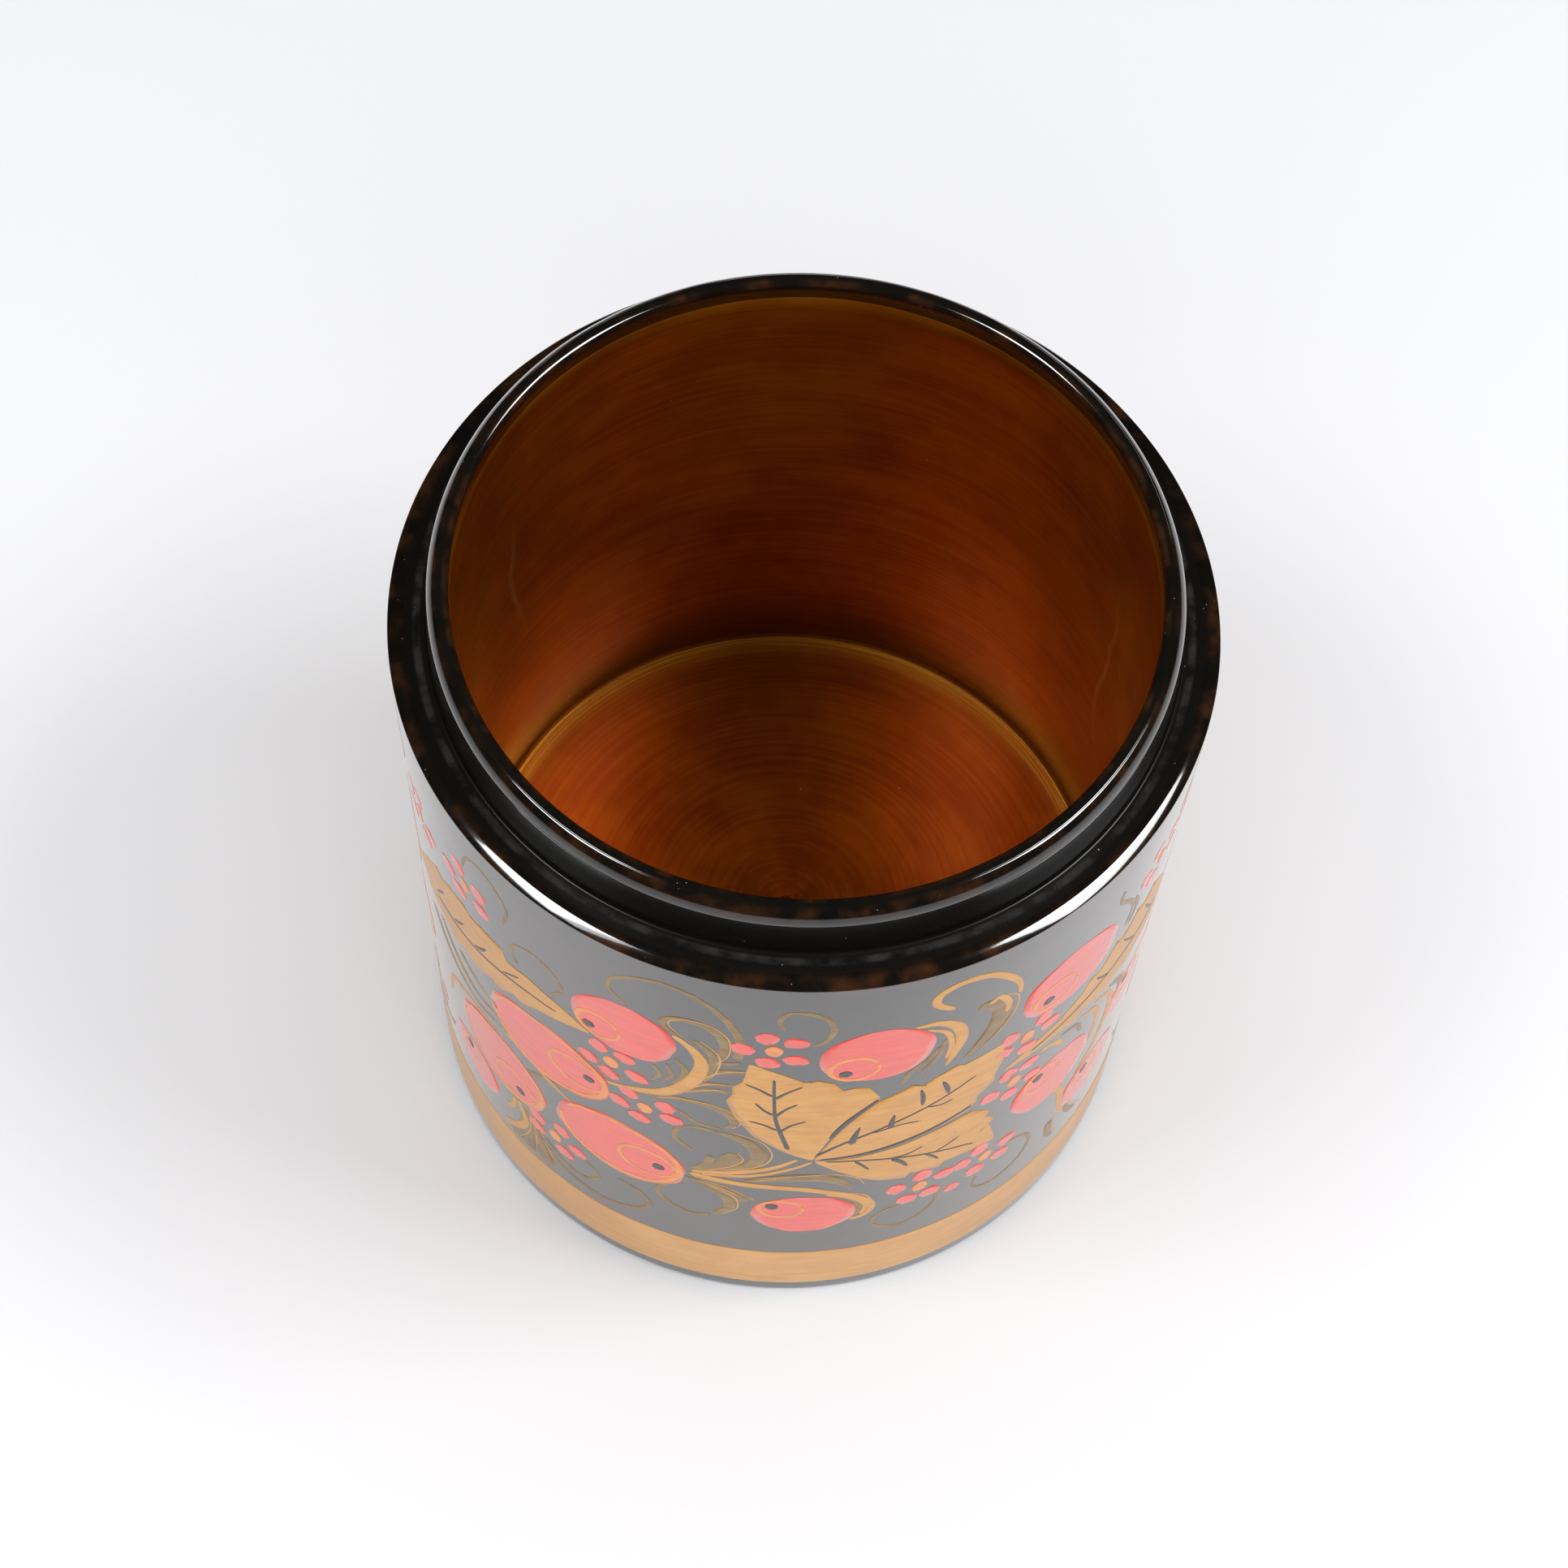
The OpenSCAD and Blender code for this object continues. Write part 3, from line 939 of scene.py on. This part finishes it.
for widths, route in VEINS:
    ink.stroke(widths, route)

# Curls and grass strokes: paint, widths and route
CURL_FULLER = 1.45
# The broader olive strokes have a thin ochre contour beside them.
CONTOUR_FROM = 1.0
CONTOUR_ASIDE = 0.42
CONTOUR_RISE = 0.4
CONTOUR_WIDTHS = (0.12, 0.30, 0.10)
CURLS = [
    (olive, (0.8, 0.6, 0.3), [(-95.2, 67.6), (-95, 73), (-97.4, 78.2), (-101.4, 81.6),
     (-106, 82.6), (-110.4, 81.2), (-113.4, 78.8), (-113.6, 76), (-111, 73.8)]),
    (olive, (0.5, 1.1, 0.5), [(-103.6, 70.4), (-105.6, 72.2), (-105.6, 73.8), (-103, 75.2),
     (-99.6, 74.8), (-97.3, 72.2), (-97.3, 68.4), (-99, 65.4)]),
    (ochre, (0.5, 2.0, 0.4), [(-104.4, 70.6), (-101.6, 68.2), (-100.2, 64.6), (-101.6, 59.6),
     (-105.4, 54.8), (-110.6, 52.2), (-115, 50.8)]),
    (olive, (0.4, 1.1, 0.3), [(-101.4, 70.8), (-98.6, 67.6), (-99, 63.2), (-100.8, 60)]),
    (olive, (0.3, 0.9, 0.3), [(-104, 64.6), (-102.6, 62.4), (-103, 60), (-104.4, 57.6)]),
    (olive, (0.2, 0.8, 0.2), [(-105.4, 62.6), (-104.6, 60), (-105.8, 57.2)]),
    (olive, (0.2, 0.7, 0.2), [(-107.4, 61.2), (-106.4, 59), (-107.8, 56.4)]),
    (olive, (0.3, 1.2, 0.5), [(-101.8, 59.2), (-99.4, 62.6), (-96.6, 64.2), (-93.6, 64.8)]),
    (olive, (0.3, 1.0, 0.5), [(-103, 57), (-99.8, 59.8), (-95.8, 60.6)]),
    (olive, (0.3, 1.0, 0.4), [(-104.6, 55.2), (-101.6, 57.2), (-98, 58.8), (-96.2, 58.4)]),
    (olive, (0.3, 0.8, 0.3), [(-99.8, 66.6), (-97, 66.2), (-94.6, 67.2)]),
    (olive, (0.4, 1.2, 0.5), [(-107.8, 52), (-104.4, 53.8), (-100, 54.2), (-96.6, 52.9),
     (-95.3, 50.4), (-96.6, 48.4)]),
    (olive, (0.3, 0.6, 0.3), [(-107, 51), (-103.6, 50.6), (-100.6, 48.6), (-97, 48.2)]),
    (olive, (0.5, 0.5, 0.5), [(-101.4, 40.2), (-104, 42.8), (-103.6, 45.8), (-100.4, 47.3),
     (-96.6, 46.8)]),
    (olive, (0.6, 2.4, 0.4), [(-97.6, 47.2), (-93.4, 45.6), (-91.4, 42), (-92.8, 38.6),
     (-97, 36.4), (-101, 35)]),
    (olive, (0.3, 0.8, 0.8), [(-101.8, 34.8), (-99.2, 37.4), (-98.6, 40)]),
    (olive, (0.3, 0.8, 0.9), [(-101.2, 35), (-98, 37.4), (-96.4, 39.6), (-96.8, 41)]),
    (olive, (0.3, 0.7, 1.6), [(-100.4, 35.2), (-96.6, 37.6), (-95, 39.8), (-96, 41.8)]),
    (ochre, (0.6, 0.9, 0.4), [(-101.6, 34.2), (-96, 35.8), (-89.4, 38.6), (-85.6, 41.4)]),
    (ochre, (0.4, 0.7, 0.3), [(-100, 34), (-92.6, 35.8), (-86.4, 38.6), (-83.4, 40.6)]),
    (ochre, (1.0, 0.9, 0.5), [(-101.8, 33.4), (-94, 33), (-86, 32.6), (-80.4, 31), (-76, 28.6),
     (-73.4, 25.6), (-74.2, 22.8), (-76.8, 21.8)]),
    (olive, (0.3, 2.8, 0.3), [(-94, 33.8), (-88, 35.6), (-82, 35.6), (-78.4, 33.6),
     (-77.2, 31.2)]),
    (olive, (0.3, 2.0, 0.4), [(-80, 30), (-76.4, 28.4), (-75, 25.4), (-76.2, 22.4)]),
    (ochre, (0.3, 0.7, 0.3), [(-81, 30.4), (-77.2, 28.8), (-74.4, 25.8), (-75, 22.8)]),
    (olive, (0.4, 1.1, 1.8), [(-103, 32), (-98, 31), (-94.6, 29.2), (-92.8, 27.8)]),
    (olive, (0.4, 0.8, 1.0), [(-101.4, 31.4), (-97.4, 30.4), (-95, 29)]),
    (olive, (0.4, 1.6, 0.6), [(-100, 30.6), (-96.2, 28.4), (-95.6, 25.2), (-98, 22.4)]),
    (olive, (0.5, 0.6, 0.3), [(-98.4, 22.2), (-101.6, 21.3), (-105.6, 22.8), (-107, 25.6),
     (-105.2, 28.4), (-102.4, 29.6)]),
    (olive, (0.4, 0.7, 0.5), [(-113.8, 23.6), (-110, 22.4), (-108.4, 19.8), (-110.4, 17),
     (-115.4, 15.1), (-121, 15.4), (-126, 17.4), (-129, 20.4)]),
    (olive, (0.3, 0.6, 0.4), [(-121, 23.6), (-118, 22.4), (-117.6, 20), (-120.2, 18),
     (-124, 18.6), (-128, 21.6)]),
    (ochre, (0.5, 0.8, 1.0), [(-133.6, 25.8), (-132.2, 21), (-134.6, 17), (-137.8, 14.6)]),
    (ochre, (0.4, 0.7, 0.5), [(-134.4, 25.8), (-135.2, 22), (-137.2, 20.4)]),
    (olive, (0.5, 1.0, 2.0), [(-132.8, 25), (-133, 19), (-135.8, 13.6)]),
    (olive, (0.5, 1.0, 2.0), [(-132.4, 25), (-131.6, 19), (-132, 13.6)]),
    (olive, (0.5, 1.1, 2.2), [(-132, 25), (-129.6, 19), (-127.6, 13.8)]),
    (olive, (0.4, 0.6, 0.4), [(-131.8, 24.6), (-128.6, 20), (-125.4, 17.4)]),
    (olive, (0.3, 0.7, 0.4), [(-89, 76.6), (-89.6, 79), (-88.4, 80.9), (-85.6, 80.9),
     (-83, 79.2), (-82.3, 76.4), (-83.2, 74), (-85, 72.6)]),
    (ochre, (0.5, 1.2, 0.3), [(-65.4, 76.2), (-68.2, 78.8), (-67.8, 81.2), (-64.6, 82.5),
     (-60.6, 81.6), (-57.4, 78.8), (-55.4, 75.8), (-54.8, 72.8)]),
    (ochre, (0.4, 1.7, 0.3), [(-71, 74.2), (-67.2, 73.6), (-64.4, 71.2), (-63.4, 67.6),
     (-64.2, 64.2), (-65.2, 61.4)]),
    (ochre, (0.3, 0.7, 0.3), [(-69, 72.8), (-66, 70.6), (-64.9, 67), (-65.4, 63.4)]),
    (olive, (1.2, 3.0, 0.3), [(-61.6, 74.4), (-57.8, 72.2), (-57.6, 68), (-60, 64),
     (-62.4, 61.4)]),
    (ochre, (0.5, 0.8, 0.4), [(-60, 73.6), (-58.4, 74.6), (-56.6, 72), (-56.6, 69.4)]),
    (olive, (0.2, 0.9, 0.2), [(-71, 62), (-68.4, 64), (-66.6, 67.4)]),
    (olive, (0.2, 0.8, 0.2), [(-71.6, 59.4), (-70.6, 62.4), (-68.4, 64.6)]),
    (olive, (0.2, 0.8, 0.2), [(-69, 61.4), (-66.8, 64.8), (-65.8, 69)]),
    (olive, (0.3, 0.6, 0.3), [(-63.4, 24.2), (-62.4, 21), (-64.6, 17.9), (-68.4, 16.5),
     (-72, 18), (-73, 20.4), (-71, 22.5), (-68.4, 23)]),
    (olive, (0.3, 0.6, 0.4), [(-55.2, 22), (-55.5, 19.2), (-53.4, 17.4), (-49.6, 17.2),
     (-46, 19.2), (-44.8, 22.4), (-46.4, 25.6), (-50.4, 27.4)]),
    (olive, (0.3, 0.6, 0.3), [(-124, 65.4), (-122, 67.8), (-122.2, 70), (-124.4, 72),
     (-127.4, 72.3), (-130.2, 70.8), (-131, 68.4), (-129.8, 66.4)]),
    (olive, (0.3, 0.6, 0.3), [(-141, 77), (-139.6, 80.6), (-136.4, 82), (-133, 80.6),
     (-131.2, 77.6), (-132.4, 73.4)]),
    (olive, (0.4, 0.7, 0.3), [(-36.4, 78.6), (-36.4, 76), (-33.6, 73), (-32, 70), (-33, 66)]),
    (olive, (0.3, 0.9, 0.3), [(-31.8, 72), (-30.6, 68.6), (-32, 65.4)]),
    (ochre, (0.3, 1.0, 0.3), [(-48, 50.6), (-44.4, 49.6), (-42.6, 46.8)]),
    (olive, (0.3, 0.9, 0.3), [(-43.6, 50.4), (-40, 49), (-38.2, 45.6)]),
    (ochre, (0.3, 1.1, 0.4), [(-39.4, 50.2), (-35.4, 48), (-33.6, 43.4), (-34.6, 38)]),
    (ochre, (0.3, 1.5, 0.4), [(-36, 50.2), (-31.6, 47.4), (-30, 42), (-31.6, 35), (-36, 30.6)]),
    (olive, (0.3, 1.4, 0.4), [(-32, 49.6), (-27.8, 46), (-27.4, 40.6)]),
    (ochre, (0.8, 1.2, 0.3), [(-41.6, 33.4), (-39.4, 30.4), (-38.4, 25), (-37, 20.8)]),
    (olive, (0.8, 1.2, 0.3), [(-40.2, 22), (-39.6, 18), (-38, 15.6)]),
    (olive, (0.4, 1.2, 0.3), [(-36.4, 22), (-34.4, 18.4), (-32, 16.4)]),
    (olive, (0.3, 1.2, 0.3), [(-136, 45.6), (-142, 45), (-148, 47.6), (-152, 51)]),
    (olive, (0.3, 1.4, 0.3), [(-137, 43.2), (-143, 42.4), (-150, 44.6), (-156, 49)]),
    (olive, (0.3, 1.0, 0.3), [(-136.4, 48), (-141, 48.6), (-146, 50.6)]),
    (ochre, (0.4, 1.2, 0.3), [(-137, 40.6), (-144, 39.8), (-150.4, 37), (-152.6, 31)]),
    (olive, (0.3, 0.9, 0.3), [(-122, 41.6), (-127, 39.8), (-131, 37.6)]),
    (ochre, (0.3, 0.9, 0.3), [(-121.4, 38.6), (-125.6, 40.2), (-131, 42.6), (-136.4, 43)]),
    (olive, (0.3, 0.7, 0.3), [(-176, 76), (-172, 80), (-166, 81), (-162, 77), (-163, 73)]),
    (olive, (0.3, 0.7, 0.3), [(-4, 76), (-8, 80.6), (-14, 82), (-19, 79.4), (-20, 76)]),
    (ochre, (0.4, 1.5, 0.4), [(-10, 66), (-14, 62), (-15, 57), (-12, 52), (-6, 49)]),
    (olive, (0.4, 1.3, 0.4), [(-1, 54), (-2, 48), (-6, 44.6), (-7, 38), (-4, 34)]),
    (ochre, (0.4, 1.3, 0.4), [(-172, 66), (-166, 64), (-162, 59), (-163, 50), (-168, 44)]),
    (olive, (0.4, 1.2, 0.4), [(-178, 48), (-176, 40), (-178, 32), (-174, 27)]),
    (olive, (0.3, 0.7, 0.4), [(-20, 21), (-18, 17.4), (-12, 16), (-4, 17), (-1, 20)]),
    (olive, (0.3, 0.7, 0.4), [(-170, 26), (-174, 18), (-168, 15.6), (-158, 16.6), (-154, 19)]),
]
for paint_used, widths, route in CURLS:
    paint_used.stroke(widths, route, CURL_FULLER)
    if paint_used is olive and max(widths) >= CONTOUR_FROM:
        aside = CONTOUR_ASIDE * CURL_FULLER * max(widths)
        contour = [(s + aside / DEG_TO_MM, z + CONTOUR_RISE * aside) for s, z in route]
        ochre.stroke(CONTOUR_WIDTHS, contour)

for paint_used in (coral, orange, ochre, olive, ink):
    paint_used.done()

# ------ table and light
TABLE_SIZE = 6.0
TABLE_WHITE = (0.90, 0.895, 0.90)
LIGHT_DISTANCE = 1.0
LIGHT_COLOUR = (0.97, 0.985, 1.0)
ROOM_COLOUR = (0.98, 0.985, 1.0, 1.0)


def table():
    """Plain pale table top at z = 0, which isn't part of the object."""
    half = TABLE_SIZE / 2
    mesh = bpy.data.meshes.new("table")
    mesh.from_pydata([(-half, -half, 0), (half, -half, 0), (half, half, 0), (-half, half, 0)],
                     [], [(0, 1, 2, 3)])
    top = bpy.data.objects.new("table", mesh)
    scene.collection.objects.link(top)
    n = Nodes("table_white")
    tone = n.noise(n.stretched(0.3, 0.3), detail=2.0)
    colour = n.mix(tone, TABLE_WHITE, tuple(0.97 * c for c in TABLE_WHITE))
    paint_on(top, n.finish(Base_Color=colour, Roughness=0.7))


def softbox(name, toward, size, power, on_matt=True, on_gloss=True, only=()):
    """Area light facing the cup's mouth, which may light only some surfaces or pieces."""
    light = bpy.data.lights.new(name, "AREA")
    light.shape = "RECTANGLE"
    light.size, light.size_y = size
    light.energy = power
    light.color = LIGHT_COLOUR
    lamp = bpy.data.objects.new(name, light)
    direction = Vector(toward).normalized()
    aim = Vector((0, 0, BODY_H))
    lamp.location = aim + direction * LIGHT_DISTANCE
    lamp.rotation_euler = direction.to_track_quat("Z", "Y").to_euler()
    lamp.visible_glossy = on_gloss
    lamp.visible_diffuse = on_matt
    if only:
        receivers = bpy.data.collections.new(name + "_receivers")
        for piece in only:
            receivers.objects.link(piece)
        lamp.light_linking.receiver_collection = receivers
    scene.collection.objects.link(lamp)


def studio(strength):
    """Dim even light all round, which the gloss doesn't mirror."""
    world = bpy.data.worlds.new("studio")
    scene.world = world
    world.use_nodes = True
    background = world.node_tree.nodes["Background"]
    background.inputs["Color"].default_value = ROOM_COLOUR
    background.inputs["Strength"].default_value = strength
    world.cycles_visibility.glossy = False


table()
softbox("softbox_left", (-0.50, -0.23, 0.835), (0.36, 0.30), 2.6)
softbox("softbox_right", (0.60, -0.055, 0.80), (0.42, 0.30), 4.3)
softbox("edge_light_left", (-0.52, -0.20, 0.83), (0.30, 0.34), 5.4,
        on_matt=False, only=[outer])
softbox("edge_light_right", (0.642, -0.045, 0.766), (0.54, 0.38), 10.4,
        on_matt=False, only=[outer])
softbox("fill_above", (0.0, 0.10, 1.0), (1.3, 1.3), 6.2, on_gloss=False)
softbox("fill_front", (0.0, -0.85, 0.55), (1.3, 0.8), 5.0, on_gloss=False)
studio(0.14)
scene.view_settings.view_transform = "Standard"
